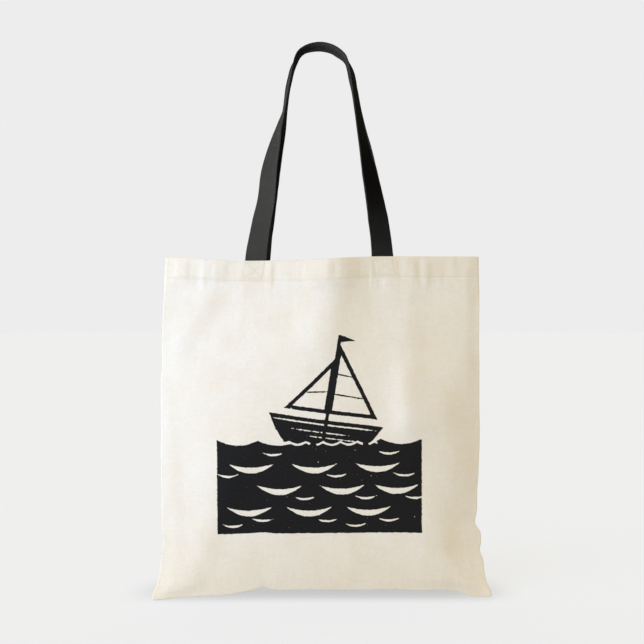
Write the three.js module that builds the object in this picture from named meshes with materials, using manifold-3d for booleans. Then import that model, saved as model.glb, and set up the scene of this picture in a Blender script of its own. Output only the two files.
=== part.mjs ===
// A cotton canvas tote bag with two webbing handles, hanging from a hook by both of them.
// Millimetres, +Z up, +X to the viewer's right, the printed front facing -Y. The origin is the point
// where both handles rest on whatever holds them: the middle of the arches, on their underside.

import * as THREE from 'three';
import { mergeVertices } from 'three/addons/utils/BufferGeometryUtils.js';
import Module from 'manifold-3d';

// Driving dimensions.
const HANDLE_DROP = 248;          // from the arch's underside down to the bag's mouth
const HANDLE_SPACING = 147;       // between the middles of a handle's two sewn ends
const WEBBING_WIDTH = 25.4;
const WEBBING_THICKNESS = 1.6;
const BAG_HEIGHT = 389.5;         // from the mouth down to the middle of the bottom seam
const MOUTH_HALF_WIDTH = 184.5;
const BODY_SPREAD = 3.5;          // how much further out the sides stand at the foot of the bag
const CORNER_SPREAD = 8;          // how far the bottom corners poke out beyond the sides
const CORNER_DROP = 10;           // how far they hang below the middle of the bottom seam
const MOUTH_HALF_DEPTH = 18;      // how far each panel stands from the middle plane at the mouth
const BELLY_HALF_DEPTH = 25;      // and where the bag is deepest
const CANVAS_THICKNESS = 0.6;
const HEM_DEPTH = 25.4;
const HEM_THICKNESS = 1;          // the two turned-in layers, pressed flat
const GAP = 0.3;                  // between pieces that touch on the real bag
const THREAD_THICKNESS = 0.4;
const THREAD_WIDTH = 0.9;

// Shape of the drape: how the depth falls off towards the sides and the bottom seam.
const SIDE_FALLOFF = 3;
const BOTTOM_FALLOFF = 6;
const CORNER_SHARPNESS = 8;
const DEEPEST = 0.625;            // where the belly is deepest, as a share of the height

// Layers of the sewn hem, as distances inwards from the canvas's outer face.
const HEM_OUTER = CANVAS_THICKNESS + GAP;
const HEM_INNER = HEM_OUTER + HEM_THICKNESS;
const STRAP_OUTER = HEM_INNER + GAP;
const STRAP_INNER = STRAP_OUTER + WEBBING_THICKNESS;
const HEM_SIDE_CLEARANCE = 6;     // the turned-in layers stop this far from the side seams

// Handles.
const STRAP_TOP_GAP = 0.3;        // from the mouth up to the free part of the webbing
const STRAP_SEWN_LENGTH = 24;     // of the webbing inside the hem
const TWIST_START = 8;            // height above the mouth where the webbing starts to turn edge on
const TWIST_END = 206;            // and where it lies fully edge on
const ARCH_FOOT = { x: 41, z: -52 };
const ARCH_FOOT_PULL = 32;        // reach of the arch curve's handles at its two ends
const ARCH_TOP_PULL = 20;
const SADDLE_HALF_LENGTH = 6.5;   // the flat of the arch, where it rests on the hook
const HANDLE_GAP = 3;             // between the two handles on the hook
const LEG_STEPS = 13;
const ARCH_STEPS = 8;

// How far each leg of a handle leans inwards for each millimetre up.
const LEG_LEAN = (HANDLE_SPACING / 2 - ARCH_FOOT.x) / (HANDLE_DROP + ARCH_FOOT.z);

// Seams, stitching and print.
const SEAM_INSET = 5;             // from the bag's edge in to the overlocked allowance
const SEAM_WIDTH = 8;
const SEAM_THICKNESS = 1;
const SEAM_HEM_CLEARANCE = 4;     // the side allowances stop this far below the hem
const SEAM_CORNER_CLEARANCE = 32; // and all three stop this far short of the tight bottom corners
const HEM_STITCH_DEPTH = 23.6;    // below the mouth
const BOX_STITCH_TOP = 3.5;
const BOX_STITCH_BOTTOM = 21.5;
const BOX_STITCH_WIDTH = 22;
const PRINT_WIDTH = 234;
const PRINT_HEIGHT = 243;
const PRINT_BOTTOM = 328;         // below the mouth
const PRINT_SHIFT = -2;           // the print sits slightly left of the bag's middle
const INK_THICKNESS = 0.3;

// Grid of the draped sheets.
const PANEL_ACROSS = 22;
const PANEL_DOWN = 22;
const HEM_ACROSS = 22;
const HEM_DOWN = 2;
const STRAP_END_ACROSS = 3;
const STRAP_END_DOWN = 2;
const SEAM_STEPS = 12;
const PRINT_STEPS = 13;
const CURVE_STEPS = 4;

const canvas = { color: 0xeee8d8, roughness: 0.92, metalness: 0 };
const webbing = { color: 0x1b1b1c, roughness: 0.8, metalness: 0 };
const thread = { color: 0xf1ecdf, roughness: 0.85, metalness: 0 };
const ink = { color: 0x0c0c0c, roughness: 0.7, metalness: 0 };

const FRONT = -1;
const BACK = 1;

const wasm = await Module();
wasm.setup();

const tote = new THREE.Group();
const bag = new THREE.Group();
bag.name = 'bag';
tote.add(bag);

function addPiece(parent, name, geometry, look) {
  const mesh = new THREE.Mesh(geometry, new THREE.MeshStandardMaterial(look));
  mesh.name = name;
  parent.add(mesh);
}

// The drape. Every sewn piece is cut flat, in cloth coordinates: across, from the middle line, and down,
// from the mouth. The drape hangs those coordinates in space, so that all layers share one shape.

function halfWidthAt(v) {
  return MOUTH_HALF_WIDTH + BODY_SPREAD * v + CORNER_SPREAD * v ** CORNER_SHARPNESS;
}

function depthAt(u, v) {
  const belly = MOUTH_HALF_DEPTH
    + (BELLY_HALF_DEPTH - MOUTH_HALF_DEPTH) * Math.sin((Math.PI / 2) * (v / DEEPEST));
  return belly * (1 - Math.abs(u) ** SIDE_FALLOFF) * (1 - v ** BOTTOM_FALLOFF);
}

// The two panels' inner faces meet at the seams with half a gap on each side of the middle plane.
const SEAM_HALF_DEPTH = GAP / 2 + CANVAS_THICKNESS;

function drape(side, across, down, inwards) {
  const u = THREE.MathUtils.clamp(across / MOUTH_HALF_WIDTH, -1, 1);
  const v = down / BAG_HEIGHT;
  return new THREE.Vector3(
    u * halfWidthAt(v),
    side * (SEAM_HALF_DEPTH + depthAt(u, v) - inwards),
    -HANDLE_DROP - down - CORNER_DROP * Math.abs(u) ** CORNER_SHARPNESS * v ** CORNER_SHARPNESS,
  );
}

// Moves every vertex of a geometry that was made flat: x across, y up from the mouth and z outwards, with
// its outer face at z = 0.
function drapeGeometry(flat, side, outerFace) {
  const geometry = flat.clone();
  const position = geometry.getAttribute('position');
  for (let i = 0; i < position.count; i += 1) {
    const facing = side === FRONT ? 1 : -1;
    const point = drape(side, facing * position.getX(i), -position.getY(i), outerFace - position.getZ(i));
    position.setXYZ(i, point.x, point.y, point.z);
  }
  geometry.computeVertexNormals();
  return geometry;
}

// A flat rectangular sheet between two distances down from the mouth, ready for drapeGeometry.
function flatSheet(halfWidth, top, bottom, thickness, stepsAcross, stepsDown) {
  const sheet = new THREE.BoxGeometry(2 * halfWidth, bottom - top, thickness, stepsAcross, stepsDown, 1);
  return sheet.translate(0, -(top + bottom) / 2, -thickness / 2);
}

function addPanel(name, side) {
  const sheet = flatSheet(MOUTH_HALF_WIDTH, 0, BAG_HEIGHT, CANVAS_THICKNESS, PANEL_ACROSS, PANEL_DOWN);
  addPiece(bag, name, drapeGeometry(sheet, side, 0), canvas);
}

function addHem(name, side) {
  const halfWidth = MOUTH_HALF_WIDTH - HEM_SIDE_CLEARANCE;
  const sheet = flatSheet(halfWidth, 0, HEM_DEPTH, HEM_THICKNESS, HEM_ACROSS, HEM_DOWN);
  addPiece(bag, name, drapeGeometry(sheet, side, HEM_OUTER), canvas);
}

function addHemStitch(name, side) {
  const halfWidth = MOUTH_HALF_WIDTH - HEM_SIDE_CLEARANCE;
  const bottom = HEM_STITCH_DEPTH + THREAD_WIDTH;
  const line = flatSheet(halfWidth, HEM_STITCH_DEPTH, bottom, THREAD_THICKNESS, HEM_ACROSS, 1);
  addPiece(bag, name, drapeGeometry(line, side, -GAP - THREAD_THICKNESS), thread);
}

// Puts a flat piece that was made around x = 0 under a strap, leaning with it: the webbing is sewn in line
// with the handle's leg, so its middle moves outwards on the way down.
function placeUnderStrap(geometry, side, middle) {
  const onFlat = side === FRONT ? middle : -middle;
  const lean = new THREE.Matrix4().makeShear(0, 0, -Math.sign(onFlat) * LEG_LEAN, 0, 0, 0);
  return geometry.applyMatrix4(lean).translate(onFlat, 0, 0);
}

function addStrapEnd(name, side, middle) {
  const bottom = STRAP_TOP_GAP + STRAP_SEWN_LENGTH;
  const end = flatSheet(
    WEBBING_WIDTH / 2, STRAP_TOP_GAP, bottom, WEBBING_THICKNESS, STRAP_END_ACROSS, STRAP_END_DOWN,
  );
  addPiece(bag, name, drapeGeometry(placeUnderStrap(end, side, middle), side, STRAP_OUTER), webbing);
}

// A rectangle of stitching with a cross in it: one outline with four triangular holes.
function boxStitchShape() {
  const x = BOX_STITCH_WIDTH / 2;
  const y = (BOX_STITCH_BOTTOM - BOX_STITCH_TOP) / 2;
  const innerX = x - THREAD_WIDTH;
  const innerY = y - THREAD_WIDTH;
  const diagonal = Math.hypot(innerX, innerY);
  const alongX = (THREAD_WIDTH / 2) * (diagonal / innerY);
  const alongY = (THREAD_WIDTH / 2) * (diagonal / innerX);
  const shape = new THREE.Shape([
    new THREE.Vector2(-x, -y), new THREE.Vector2(x, -y), new THREE.Vector2(x, y), new THREE.Vector2(-x, y),
  ]);
  for (const sign of [-1, 1]) {
    shape.holes.push(new THREE.Path([
      new THREE.Vector2(-innerX + alongX, sign * innerY),
      new THREE.Vector2(innerX - alongX, sign * innerY),
      new THREE.Vector2(0, sign * alongY),
    ]));
    shape.holes.push(new THREE.Path([
      new THREE.Vector2(sign * innerX, innerY - alongY),
      new THREE.Vector2(sign * innerX, -innerY + alongY),
      new THREE.Vector2(sign * alongX, 0),
    ]));
  }
  return shape;
}

function addBoxStitch(name, side, middle) {
  const options = { depth: THREAD_THICKNESS, bevelEnabled: false };
  const stitch = new THREE.ExtrudeGeometry(boxStitchShape(), options);
  stitch.translate(0, -(BOX_STITCH_TOP + BOX_STITCH_BOTTOM) / 2, -THREAD_THICKNESS);
  const placed = placeUnderStrap(stitch, side, middle);
  addPiece(bag, name, drapeGeometry(placed, side, -GAP - THREAD_THICKNESS), thread);
}

// Overlocked allowances: strips on the middle plane, inside the bag, along the two sides and the bottom.

function addSideSeam(name, sign) {
  const top = HEM_DEPTH + SEAM_HEM_CLEARANCE;
  const bottom = BAG_HEIGHT - SEAM_CORNER_CLEARANCE;
  const strip = new THREE.BoxGeometry(SEAM_WIDTH, SEAM_THICKNESS, bottom - top, 1, 1, SEAM_STEPS);
  const position = strip.getAttribute('position');
  for (let i = 0; i < position.count; i += 1) {
    const down = (top + bottom) / 2 - position.getZ(i);
    const edge = halfWidthAt(down / BAG_HEIGHT) - SEAM_INSET - SEAM_WIDTH / 2;
    position.setXYZ(i, sign * edge + position.getX(i), position.getY(i), -HANDLE_DROP - down);
  }
  addPiece(bag, name, strip, thread);
}

function addBottomSeam(name) {
  const halfLength = MOUTH_HALF_WIDTH - SEAM_CORNER_CLEARANCE;
  const strip = new THREE.BoxGeometry(2 * halfLength, SEAM_THICKNESS, SEAM_WIDTH, SEAM_STEPS, 1, 1);
  strip.translate(0, 0, -HANDLE_DROP - BAG_HEIGHT + SEAM_INSET + SEAM_WIDTH / 2);
  addPiece(bag, name, strip, thread);
}

// The print: a plain block-print scene, a small sailing boat heeling over on a sea of light wave lines.

const WATERLINE = 112;            // heights above the print's foot, in the flat
const CREST_HEIGHT = 12;
const CRESTS = 5;
const WAVE_ROWS = [
  { height: 84, starts: [-104, -32, 40] },
  { height: 58, starts: [-72, 0, 62] },
  { height: 32, starts: [-106, -38, 30] },
];
const WAVE_LENGTH = 52;
const WAVE_RISE = 16;
const WAVE_BELLY = 7;             // how thick a wave line is, as the pull of its two edges apart
const HEEL = THREE.MathUtils.degToRad(-9);
const BOAT_SHIFT = 4;
const HULL = { deck: 66, keel: 44, freeboard: 24, draught: 8 };
const MAST = { halfWidth: 2, top: 126 };
const BOOM_HEIGHT = 32;
const SAIL_OUTLINE = 4.5;
const MAIN_SAIL = { foot: 58, height: 86 };
const JIB = { foot: -50, height: 68 };

function polygon(corners) {
  return new THREE.Shape(corners.map(([x, y]) => new THREE.Vector2(x, y)));
}

function solidFrom(geometry) {
  const bare = geometry.clone();
  bare.deleteAttribute('normal');
  bare.deleteAttribute('uv');
  const merged = mergeVertices(bare, 1e-3);
  return new wasm.Manifold(new wasm.Mesh({
    numProp: 3,
    vertProperties: merged.getAttribute('position').array,
    triVerts: new Uint32Array(merged.index.array),
  }));
}

function geometryFrom(solid) {
  const mesh = solid.getMesh();
  const geometry = new THREE.BufferGeometry();
  geometry.setAttribute('position', new THREE.BufferAttribute(new Float32Array(mesh.vertProperties), 3));
  geometry.setIndex(new THREE.BufferAttribute(new Uint32Array(mesh.triVerts), 1));
  geometry.computeVertexNormals();
  return geometry;
}

// A shape drawn on the bag's front, as a solid that runs through the print from the middle plane outwards.
function prism(shape, placed = new THREE.Matrix4()) {
  const depth = 2 * BELLY_HALF_DEPTH;
  const options = { depth, bevelEnabled: false, curveSegments: CURVE_STEPS };
  const geometry = new THREE.ExtrudeGeometry(shape, options);
  geometry.applyMatrix4(placed);
  return solidFrom(geometry.rotateX(Math.PI / 2).translate(PRINT_SHIFT, 0, -HANDLE_DROP - PRINT_BOTTOM));
}

function seaShape() {
  const half = PRINT_WIDTH / 2;
  const sea = new THREE.Shape();
  sea.moveTo(half, WATERLINE);
  for (let i = 1; i <= CRESTS; i += 1) {
    const end = half - (PRINT_WIDTH / CRESTS) * i;
    sea.quadraticCurveTo(end + PRINT_WIDTH / CRESTS / 2, WATERLINE - CREST_HEIGHT, end, WATERLINE);
  }
  sea.lineTo(-half, 0);
  sea.lineTo(half, 0);
  return sea;
}

function waveLineShape(start, height) {
  const middle = start + WAVE_LENGTH / 2;
  const line = new THREE.Shape();
  line.moveTo(start, height);
  line.quadraticCurveTo(middle, height - WAVE_RISE - WAVE_BELLY, start + WAVE_LENGTH, height);
  line.quadraticCurveTo(middle, height - WAVE_RISE + WAVE_BELLY, start, height);
  return line;
}

// A right-angled triangle drawn as an outline, its upright edge on the mast. A negative foot is a jib, and
// its corners are taken the other way round, so that every outline runs counter-clockwise.
function sailShape({ foot, height }) {
  const sign = Math.sign(foot);
  const length = Math.abs(foot);
  const inset = 1 - SAIL_OUTLINE * Math.hypot(1 / length, 1 / height);
  const outer = [[0, 0], [foot, 0], [0, height]];
  const inner = [
    [sign * SAIL_OUTLINE, SAIL_OUTLINE],
    [sign * length * (inset - SAIL_OUTLINE / height), SAIL_OUTLINE],
    [sign * SAIL_OUTLINE, height * (inset - SAIL_OUTLINE / length)],
  ];
  if (sign < 0) {
    outer.reverse();
    inner.reverse();
  }
  const sail = polygon(outer);
  sail.holes.push(polygon(inner));
  return sail;
}

function boatSolid() {
  const boatFrame = new THREE.Matrix4().makeRotationZ(HEEL).setPosition(BOAT_SHIFT, WATERLINE, 0);
  const boomFrame = boatFrame.clone().multiply(new THREE.Matrix4().makeTranslation(0, BOOM_HEIGHT, 0));
  const { deck, keel, freeboard, draught } = HULL;
  const hullShape = polygon([[-keel, -draught], [keel, -draught], [deck, freeboard], [-deck, freeboard]]);
  const { halfWidth, top } = MAST;
  const mastShape = polygon([[-halfWidth, 0], [halfWidth, 0], [halfWidth, top], [-halfWidth, top]]);
  const hull = prism(hullShape, boatFrame);
  const mast = prism(mastShape, boatFrame);
  return hull.add(mast).add(prism(sailShape(MAIN_SAIL), boomFrame)).add(prism(sailShape(JIB), boomFrame));
}

function addPrint(name) {
  const top = PRINT_BOTTOM - PRINT_HEIGHT;
  const sheet = flatSheet(PRINT_WIDTH / 2, top, PRINT_BOTTOM, INK_THICKNESS, PRINT_STEPS, PRINT_STEPS);
  const draped = drapeGeometry(sheet.translate(PRINT_SHIFT, 0, 0), FRONT, -GAP - INK_THICKNESS);
  let outline = prism(seaShape()).add(boatSolid());
  for (const { height, starts } of WAVE_ROWS) {
    for (const start of starts) {
      outline = outline.subtract(prism(waveLineShape(start, height)));
    }
  }
  addPiece(bag, name, geometryFrom(solidFrom(draped).intersect(outline)), ink);
}

// The handles. Each is one strap that leaves the hem facing front, turns edge on as it climbs and passes
// over the hook in an arch. Every section of it is a straight bar, placed on the next station of its route.

const MOUTH_Z = -HANDLE_DROP;
const HALF_THICKNESS = WEBBING_THICKNESS / 2;

function legLine() {
  return new THREE.LineCurve(
    new THREE.Vector2(HANDLE_SPACING / 2, MOUTH_Z + STRAP_TOP_GAP),
    new THREE.Vector2(ARCH_FOOT.x, ARCH_FOOT.z),
  );
}

function archCurve(leg) {
  const pull = leg.getTangent(0).multiplyScalar(ARCH_FOOT_PULL);
  const top = new THREE.Vector2(SADDLE_HALF_LENGTH, HALF_THICKNESS);
  return new THREE.CubicBezierCurve(
    leg.v2,
    leg.v2.clone().add(pull),
    top.clone().add(new THREE.Vector2(ARCH_TOP_PULL, 0)),
    top,
  );
}

// The stations of the route from the right-hand sewn end up to the saddle, as points and directions.
function rightStations() {
  const leg = legLine();
  const arch = archCurve(leg);
  const stations = [];
  for (let i = 0; i < LEG_STEPS; i += 1) {
    stations.push({ point: leg.getPoint(i / LEG_STEPS), tangent: leg.getTangent(0) });
  }
  for (let i = 0; i <= ARCH_STEPS; i += 1) {
    stations.push({ point: arch.getPoint(i / ARCH_STEPS), tangent: arch.getTangent(i / ARCH_STEPS) });
  }
  return stations;
}

function wholeRoute() {
  const right = rightStations();
  const left = right.map(({ point, tangent }) => ({
    point: new THREE.Vector2(-point.x, point.y),
    tangent: new THREE.Vector2(tangent.x, -tangent.y),
  }));
  return [...right, ...left.reverse()];
}

// How far the webbing has turned edge on at a height: 0 facing front, a right angle edge on.
function twistAt(z) {
  return (Math.PI / 2) * THREE.MathUtils.smoothstep(z - MOUTH_Z, TWIST_START, TWIST_END);
}

// The middle of the webbing stands behind the panel's outer face at the hem, and beside the other handle
// on the hook.
function handleDepthAt(z) {
  const u = HANDLE_SPACING / 2 / MOUTH_HALF_WIDTH;
  const atMouth = SEAM_HALF_DEPTH + depthAt(u, 0) - (STRAP_OUTER + STRAP_INNER) / 2;
  const atHook = (WEBBING_WIDTH + HANDLE_GAP) / 2;
  return THREE.MathUtils.lerp(atMouth, atHook, THREE.MathUtils.smoothstep(z - MOUTH_Z, 0, TWIST_END));
}

function addHandle(name, side) {
  const route = wholeRoute();
  const strap = new THREE.BoxGeometry(WEBBING_WIDTH, 1, WEBBING_THICKNESS, 1, route.length - 1, 1);
  const position = strap.getAttribute('position');
  for (let i = 0; i < position.count; i += 1) {
    const station = route[Math.round((position.getY(i) + 0.5) * (route.length - 1))];
    const z = station.point.y;
    const onRight = station.point.x > 0;
    const twist = (onRight ? 1 : -1) * twistAt(z);
    // Widthwise direction: level, along X at the hem and along Y over the hook.
    const across = new THREE.Vector3(Math.cos(twist), side * -Math.sin(twist), 0);
    if (!onRight) across.negate();
    const along = new THREE.Vector3(station.tangent.x, 0, station.tangent.y);
    const through = new THREE.Vector3().crossVectors(across, along).normalize();
    const point = new THREE.Vector3(station.point.x, side * handleDepthAt(z), z)
      .addScaledVector(across, position.getX(i))
      .addScaledVector(through, position.getZ(i));
    position.setXYZ(i, point.x, point.y, point.z);
  }
  strap.computeVertexNormals();
  const body = new THREE.Group();
  tote.add(body);
  addPiece(body, name, strap, webbing);
}

const endMiddles = { left: -HANDLE_SPACING / 2, right: HANDLE_SPACING / 2 };

for (const [label, side] of [['front', FRONT], ['back', BACK]]) {
  addPanel(`${label}_panel`, side);
  addHem(`${label}_hem`, side);
  addHemStitch(`${label}_hem_stitch`, side);
  for (const [end, middle] of Object.entries(endMiddles)) {
    addStrapEnd(`${label}_handle_${end}_end`, side, middle);
    addBoxStitch(`${label}_${end}_box_stitch`, side, middle);
  }
  addHandle(`${label}_handle`, side);
}
addSideSeam('left_side_seam', -1);
addSideSeam('right_side_seam', 1);
addBottomSeam('bottom_seam');
addPrint('front_print');

export default tote;
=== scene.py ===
"""A natural cotton canvas tote bag with two black webbing handles, hanging by both of them.

Everything is in metres, in the frame's own axes: +Z up, the printed front facing -Y, and the origin under
the handles' arches. Sewn pieces are laid out in cloth coordinates, across from the middle line and down
from the mouth, and drape() hangs them in space, so that panels, stitches, seams and print share one shape.
"""

import math
from functools import lru_cache
from itertools import chain

import bpy
import numpy as np
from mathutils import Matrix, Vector


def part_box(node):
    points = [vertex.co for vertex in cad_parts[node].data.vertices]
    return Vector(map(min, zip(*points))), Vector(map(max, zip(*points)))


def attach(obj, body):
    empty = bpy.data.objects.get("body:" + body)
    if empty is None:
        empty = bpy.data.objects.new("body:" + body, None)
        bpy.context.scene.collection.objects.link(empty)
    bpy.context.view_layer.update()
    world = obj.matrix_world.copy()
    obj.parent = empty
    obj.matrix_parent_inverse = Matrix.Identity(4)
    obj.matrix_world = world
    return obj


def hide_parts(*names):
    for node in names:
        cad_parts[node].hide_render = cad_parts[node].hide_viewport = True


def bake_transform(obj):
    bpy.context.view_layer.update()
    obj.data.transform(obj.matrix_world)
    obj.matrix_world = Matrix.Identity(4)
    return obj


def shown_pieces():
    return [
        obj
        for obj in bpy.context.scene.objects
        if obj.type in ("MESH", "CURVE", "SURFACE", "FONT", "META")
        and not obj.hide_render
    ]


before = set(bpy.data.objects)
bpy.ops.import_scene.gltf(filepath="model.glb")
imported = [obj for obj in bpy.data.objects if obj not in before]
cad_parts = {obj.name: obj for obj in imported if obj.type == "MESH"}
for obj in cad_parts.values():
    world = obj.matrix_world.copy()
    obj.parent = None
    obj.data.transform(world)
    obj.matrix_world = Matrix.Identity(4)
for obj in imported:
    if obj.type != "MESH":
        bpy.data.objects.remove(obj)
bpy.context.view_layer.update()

MM = 0.001

# --- Driving dimensions: the bag's outline comes from the CAD nodes, and the rest is set here ---

MOUTH_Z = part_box("front_hem")[1].z
FOOT_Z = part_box("bottom_seam")[0].z - 5 * MM             # the CAD's bottom seam ends above the edge
MOUTH_HALF_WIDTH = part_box("front_hem")[1].x + 6 * MM     # and its hem ends short of the side seams
BODY_SPREAD = 3.5 * MM        # how much wider the bag is at its foot than at its mouth, on each side
CORNER_SPREAD = 17 * MM       # how far the bottom corners poke out before they are rounded
CORNER_SHARPNESS = 32         # how late on its way down the side seam flares out to the corner
CORNER_RADIUS = 10 * MM
CORNER_REACH = 6              # how quickly the side seams' dents and the corners fade towards the middle
FOOT_REACH = 7                # how quickly the bottom seam's shape fades upwards
MOUTH_HALF_DEPTH = 18 * MM
BELLY_HALF_DEPTH = 25 * MM
DEEPEST = 0.625               # the share of the height at which the bag is fullest
SIDE_FALLOFF = 3              # powers with which the fullness falls to nothing at the seams
BOTTOM_FALLOFF = 6
TENT_HALF_DEPTH = 22 * MM     # the front's crest at the mouth, where its sides run almost straight
TENT_POWER = 1.15

CANVAS = 0.6 * MM
HEM_DEPTH = 25.4 * MM
HEM_LAYER = 1.1 * MM
FOLD_DEPTH = 1.95 * MM        # from the outer face of the canvas to the inner face of the hem
STITCH_DOWN = 23.6 * MM
FLAT_HALF = 193.5 * MM        # half the finished width of the bag laid flat
FLAT_HEIGHT = 400 * MM

WEBBING_WIDTH = 25.4 * MM
WEBBING_THICKNESS = 1.6 * MM
STRAP_DEPTH = 3.05 * MM       # from the canvas's outer face in to the middle of the sewn webbing
SEWN_LENGTH = 24 * MM
HOOK_GAP = 3 * MM
BOX_HALF, BOX_TOP, BOX_FOOT = 11.4 * MM, 2.6 * MM, 21.4 * MM

FRONT, BACK = -1, 1

MOUTH_X = {FRONT: (71.3 * MM, -77.0 * MM), BACK: (72.3 * MM, -74.3 * MM)}
LEAN = 0.166                  # how far the sewn webbing moves outwards for each unit down


# --- Camera: level, centred on the bag ---

SENSOR_WIDTH_MM, LENS_MM = 36, 76.1
CAMERA_PLACE = (0.0006, -1.6, -0.3225)


def add_camera():
    data = bpy.data.cameras.new("camera")
    data.sensor_width = SENSOR_WIDTH_MM
    data.lens = LENS_MM
    camera = bpy.data.objects.new("camera", data)
    camera.location = CAMERA_PLACE
    camera.rotation_euler = (math.radians(90), 0, 0)
    bpy.context.scene.collection.objects.link(camera)
    bpy.context.scene.camera = camera


add_camera()


# --- Small tools ---

def smoothstep(low, high, x):
    s = np.clip((x - low) / (high - low), 0, 1)
    return s * s * (3 - 2 * s)


def bell(x, middle, width):
    return np.exp(-(((x - middle) / width) ** 2))


def unit(vectors):
    return vectors / np.maximum(np.linalg.norm(vectors, axis=-1, keepdims=True), 1e-12)


LATTICE = 256                 # cells along each side of a noise lattice, after which it repeats
LATTICE_START = 100           # keeps the lattice's edge away from the middle of the cloth


@lru_cache(maxsize=None)
def noise_lattice(seed):
    return np.random.default_rng(seed).uniform(-1, 1, (LATTICE, LATTICE))


def value_noise(x, y, cell_x, cell_y, seed):
    """Smooth noise from -1 to 1 on a random lattice with cells of the given size."""
    lattice = noise_lattice(seed)
    px, py = x / cell_x + LATTICE_START, y / cell_y + LATTICE_START
    ix, iy = np.floor(px).astype(int), np.floor(py).astype(int)
    fx, fy = px - ix, py - iy
    fx = fx ** 3 * (fx * (6 * fx - 15) + 10)
    fy = fy ** 3 * (fy * (6 * fy - 15) + 10)
    left, right = ix % LATTICE, (ix + 1) % LATTICE
    near, far = iy % LATTICE, (iy + 1) % LATTICE
    low = lattice[left, near] * (1 - fx) + lattice[right, near] * fx
    high = lattice[left, far] * (1 - fx) + lattice[right, far] * fx
    return low * (1 - fy) + high * fy


def from_segment(x, y, start, end):
    """Distance of points from the line between two points, and the share of the way along it they lie."""
    ex, ey = end[0] - start[0], end[1] - start[1]
    share = np.clip(((x - start[0]) * ex + (y - start[1]) * ey) / (ex * ex + ey * ey), 0, 1)
    return np.hypot(x - start[0] - ex * share, y - start[1] - ey * share), share


def travel_round(outline):
    """Distance travelled round a closed outline at each of its points, and once more back at its start."""
    steps = [math.dist(a, b) for a, b in zip(outline, outline[1:] + outline[:1])]
    return np.concatenate([[0], np.cumsum(steps)])


def sweep(stations, loop, flip, uv, cap_uv, first_corner=0):
    """Faces and uvs of a capped tube whose vertices are stations rings of loop places each.

    flip turns the faces over. uv and cap_uv give the (u, v) of a station and a place round the ring. Each
    face is cut into triangles from its first corner.
    """
    quad = [(0, 0), (0, 1), (1, 1), (1, 0)]
    quad = quad[first_corner:] + quad[:first_corner]
    if flip:
        quad.reverse()
    faces, uvs = [], []
    for station in range(stations - 1):
        for place in range(loop):
            corners = [(station + along, place + around) for along, around in quad]
            faces.append([s * loop + k % loop for s, k in corners])
            uvs += [uv(s, k) for s, k in corners]
    for station in (0, stations - 1):
        ring = list(range(loop))
        if (station == 0) != flip:
            ring.reverse()
        faces.append([station * loop + k for k in ring])
        uvs += [cap_uv(station, k) for k in ring]
    return faces, uvs


def add_mesh(name, vertices, faces, material, uvs=None, smooth=True):
    """A mesh object; uvs, if given, holds one (u, v) for every corner of every face, in metres."""
    sizes = np.fromiter(map(len, faces), dtype=np.int32, count=len(faces))
    corners = np.fromiter(chain.from_iterable(faces), dtype=np.int32, count=int(sizes.sum()))
    mesh = bpy.data.meshes.new(name)
    mesh.vertices.add(len(vertices))
    mesh.vertices.foreach_set("co", np.asarray(vertices, dtype=np.float32).ravel())
    mesh.loops.add(len(corners))
    mesh.loops.foreach_set("vertex_index", corners)
    mesh.polygons.add(len(sizes))
    mesh.polygons.foreach_set("loop_start", np.concatenate([[0], np.cumsum(sizes)[:-1]]).astype(np.int32))
    mesh.polygons.foreach_set("use_smooth", np.full(len(sizes), smooth))
    if uvs is not None:
        layer = mesh.uv_layers.new(name="cloth")
        layer.data.foreach_set("uv", np.asarray(uvs, dtype=np.float32).ravel())
    mesh.update(calc_edges=True)
    mesh.validate()
    piece = bpy.data.objects.new(name, mesh)
    bpy.context.scene.collection.objects.link(piece)
    piece.data.materials.append(material)
    return piece


# --- The drape ---

# Folds, in millimetres: (across, down) of both ends, the fold's half width on its left and on its right,
# and its height outwards.
FRONT_FOLDS = [
    ((24, -30), (2, 80), 30, 28, 6.0),         # the broad ridge between the straps
    ((4, -30), (12, 160), 65, 44, 4.0),
    ((104, 40), (103, 220), 26, 20, 3.0),      # ridge under the right strap
    ((187, -10), (188, 110), 48, 30, 2.0),     # fullness along the right side
    ((147, 190), (143, 330), 44, 26, 3.7),
    ((102, 145), (104, 195), 14, 62, 4.5),     # below the right strap the cloth leans towards the side
    ((-126, -2), (-137, 46), 30, 14, 1.7),     # tension fold down from the left strap to the side
    ((-144, 56), (-168, 98), 16, 13, 1.7),
    ((-92, 10), (-98, 70), 9, 8, 0.4),
    ((-166, 230), (-163, 320), 12, 16, -1.7),
    ((-100, 250), (-162, 382), 36, 18, 3.2),   # soft ridge down to the left corner
    ((128, 320), (162, 386), 34, 18, 3.4),     # the right corner turns away below this ridge
    ((34, 340), (36, 384), 7, 4, 0.45),        # pucker above the bottom seam
    ((29, -4), (27, 22), 11, 13, 1.3),         # pleats held by the hem's stitching
    ((-141, 2), (-139, 20), 10, 15, 0.8),
    ((12, -8), (10, 24), 34, 24, 3.8),
    ((-168, -10), (-168, 18), 20, 55, 2.0),
    ((92, 2), (95, 22), 3, 4, -0.4),           # crease beside the right strap
]
BACK_FOLDS = [
    ((-66, -8), (-40, 110), 16, 20, 1.8),
    ((60, -8), (38, 120), 18, 14, 1.9),
    ((0, 10), (4, 120), 22, 22, -1.4),
    ((86, 14), (176, 96), 11, 11, -1.2),
    ((-84, 14), (-176, 110), 11, 11, -1.2),
    ((-150, 200), (-146, 340), 13, 13, 0.8),
    ((152, 230), (160, 330), 12, 12, 0.9),
    ((-140, 330), (-190, 394), 9, 9, 1.1),
    ((134, 332), (190, 394), 9, 9, 1.1),
    ((-30, 345), (-24, 388), 8, 8, 0.5),
]


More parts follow.
